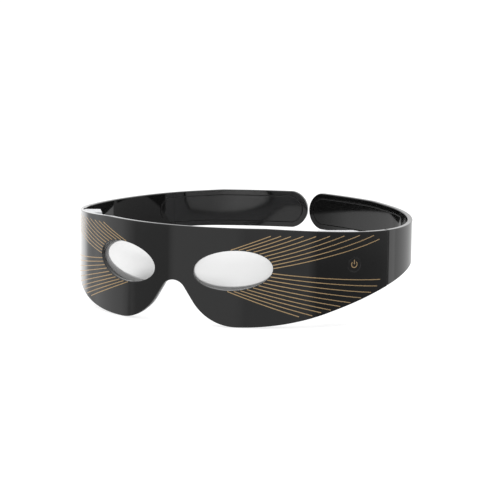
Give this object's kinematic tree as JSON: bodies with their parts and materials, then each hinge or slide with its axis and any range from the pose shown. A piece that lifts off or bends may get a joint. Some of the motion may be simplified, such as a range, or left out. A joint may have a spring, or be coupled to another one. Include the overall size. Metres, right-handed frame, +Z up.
{
  "type": "led eye mask",
  "caption": "Black wrap-around light-therapy eye mask with oval frosted eye windows, a side power key and two springy arms that close behind the head.",
  "frame": {"origin": "centre of the mask's box at the level of the foot of the cheek lobes", "axes": "+Z up as worn, -Y the way the wearer looks, +X the wearer's left, the side with the power key"},
  "size_m": [0.1724, 0.1496, 0.0475],
  "materials": {
    "shell": "polished black moulding with printed gold pinstripes",
    "liner": "fine satin, translucent light grey",
    "cup": "satin dark grey",
    "window": "frosted white",
    "arm_cover": "polished black",
    "key": "polished black",
    "gold": "satin gold",
    "light_board": "white solder mask",
    "circuit_board": "green solder mask",
    "red_light": "clear resin over red emitters",
    "infrared_light": "smoked resin",
    "flex": "amber film",
    "chip": "matte black",
    "steel": "rolled and pressed",
    "cell": "foil pouch",
    "foam": "open cell"
  },
  "bodies": {
    "visor": {"front_shell": "shell", "face_liner": "liner", "eye_cup_left": "cup", "eye_cup_right": "cup", "eye_window_left": "window", "eye_window_right": "window", "light_board_left": "light_board", "light_board_right": "light_board", "red_lights_left": "red_light", "red_lights_right": "red_light", "infrared_lights_left": "infrared_light", "infrared_lights_right": "infrared_light", "bridge_cable": "flex", "board_strap": "flex", "battery_strap": "flex", "main_board": "circuit_board", "board_chips": "chip", "switch_body": "steel", "port_shell": "steel", "port_tongue": "chip", "battery": "cell", "battery_foam": "foam", "pod_screws": "steel", "spring_root_left": "steel", "spring_root_right": "steel"},
    "key": {"power_key": "key", "key_symbol": "gold", "switch_plunger": "chip"},
    "left_arm": {"arm_left": "shell", "arm_cover_left": "arm_cover", "spring_strip_left": "steel"},
    "right_arm": {"arm_right": "shell", "arm_cover_right": "arm_cover", "spring_strip_right": "steel"}
  },
  "joints": [
    {"name": "power_key_press", "type": "slide", "parent": "visor", "child": "key", "axis": [-0.8387, 0.5446, 0], "range_m": [0, 0.0004], "stiffness_N_per_m": 1000, "springref_m": -0.0006},
    {"name": "left_arm_flex", "type": "hinge", "parent": "visor", "child": "left_arm", "pos_m": [0.08472, -0.01408, 0.03], "axis": [0, 0, -1], "range_deg": [0, 35], "stiffness_Nm_per_rad": 0.25},
    {"name": "right_arm_flex", "type": "hinge", "parent": "visor", "child": "right_arm", "pos_m": [-0.08472, -0.01408, 0.03], "axis": [0, 0, 1], "range_deg": [0, 35], "stiffness_Nm_per_rad": 0.25}
  ]
}
